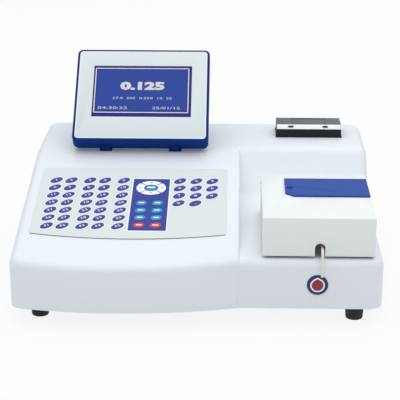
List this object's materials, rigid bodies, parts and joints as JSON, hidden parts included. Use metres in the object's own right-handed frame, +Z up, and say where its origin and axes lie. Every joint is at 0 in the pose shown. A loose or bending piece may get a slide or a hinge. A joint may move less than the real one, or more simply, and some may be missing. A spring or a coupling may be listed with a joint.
{
  "type": "chemistry analyzer",
  "caption": "Bench-top clinical chemistry analyser: white moulded casing with a sloped membrane keypad, a leaning display, a printer, a hinged sample chamber cover and a front needle.",
  "frame": {"origin": "on the bench under the middle of the instrument's outer box", "axes": "+X to the right seen from the front, +Y to the back, +Z up"},
  "size_m": [0.44, 0.414, 0.2471],
  "materials": {
    "casing": "moulded white with a soft satin",
    "sheet_steel": "zinc plated",
    "foot": "matt rubber",
    "steel": "bright",
    "black_plastic": "fine grain",
    "keypad": "printed film",
    "blue_plastic": "satin",
    "panel_film": "printed film",
    "pane": "printed pane",
    "circuit_board": "lacquered",
    "dark_plastic": "fine grain",
    "roller": "ground rubber",
    "paper": "thermal paper",
    "clear_strip": "clear",
    "cover_paint": "powder coat",
    "alloy": "anodised",
    "quartz": "polished"
  },
  "bodies": {
    "base": {"upper_casing": "casing", "base_tray": "sheet_steel", "foot_front_left": "foot", "foot_front_right": "foot", "foot_rear_left": "foot", "foot_rear_right": "foot", "foot_screws": "steel", "rear_panel": "sheet_steel", "mains_inlet": "black_plastic", "switch_frame": "black_plastic", "serial_socket": "steel", "fan_frame": "black_plastic", "waste_outlet": "steel", "keypad_film": "keypad", "display_ears": "blue_plastic", "display_hinge_pin": "steel", "printer_housing": "black_plastic", "printer_hinge_pin": "steel", "print_head": "dark_plastic", "paper_roll": "paper", "tear_bar": "clear_strip", "cover_hinges": "steel", "cover_hinge_pins": "steel", "optics_bench": "sheet_steel", "cell_block": "alloy", "flow_cell": "quartz", "lamp_housing": "alloy", "lamp": "quartz", "lens_tube": "black_plastic", "filter_motor": "steel", "photodiode_board": "circuit_board", "pump_motor": "steel", "pump_head": "dark_plastic", "aspirator_needle": "steel", "button_switch": "steel", "main_board": "circuit_board", "board_standoffs": "alloy", "supply_case": "sheet_steel", "supply_board": "circuit_board"},
    "display": {"display_back": "blue_plastic", "display_front": "blue_plastic", "display_panel": "panel_film", "display_pane": "pane", "lcd_module": "steel", "driver_board": "circuit_board", "display_screws": "steel"},
    "cover": {"chamber_cover": "cover_paint", "lid_screw": "steel"},
    "lid": {"cuvette_lid": "blue_plastic"},
    "printer_lid": {"printer_door": "dark_plastic"},
    "platen": {"platen_roller": "roller"},
    "button": {"aspirate_button": "blue_plastic"},
    "rocker": {"power_rocker": "black_plastic"},
    "fan": {"fan_rotor": "black_plastic"},
    "wheel": {"filter_wheel": "alloy"},
    "pump": {"pump_rotor": "roller"}
  },
  "joints": [
    {"name": "display_tilt", "type": "hinge", "parent": "base", "child": "display", "pos_m": [-0.081, 0.069, 0.1448], "axis": [1, 0, 0], "range_deg": [-18, 30]},
    {"name": "cover_hinge", "type": "hinge", "parent": "base", "child": "cover", "pos_m": [0.1428, -0.0328, 0.1244], "axis": [-1, 0, 0], "range_deg": [0, 80]},
    {"name": "lid_swing", "type": "hinge", "parent": "cover", "child": "lid", "pos_m": [0.1116, -0.079, 0.1327], "axis": [0, 0, -1], "range_deg": [0, 90]},
    {"name": "printer_door_hinge", "type": "hinge", "parent": "base", "child": "printer_lid", "pos_m": [0.1451, 0.1618, 0.1483], "axis": [-1, 0, 0], "range_deg": [0, 85]},
    {"name": "platen_spin", "type": "hinge", "parent": "base", "child": "platen", "pos_m": [0.1451, 0.1411, 0.1433], "axis": [1, 0, 0], "continuous": true},
    {"name": "aspirate_press", "type": "slide", "parent": "base", "child": "button", "axis": [0, 1, 0], "range_m": [0, 0.0012], "stiffness_N_per_m": 800, "springref_m": -0.0005},
    {"name": "power_rock", "type": "hinge", "parent": "base", "child": "rocker", "pos_m": [-0.072, 0.197, 0.0735], "axis": [-1, 0, 0], "range_deg": [0, 16]},
    {"name": "fan_spin", "type": "hinge", "parent": "base", "child": "fan", "pos_m": [0.06, 0.187, 0.0735], "axis": [0, 1, 0], "continuous": true},
    {"name": "filter_spin", "type": "hinge", "parent": "base", "child": "wheel", "pos_m": [0.18, -0.082, 0.0655], "axis": [1, 0, 0], "continuous": true},
    {"name": "pump_spin", "type": "hinge", "parent": "base", "child": "pump", "pos_m": [0.012, 0.003, 0.063], "axis": [0, 0, 1], "continuous": true}
  ]
}
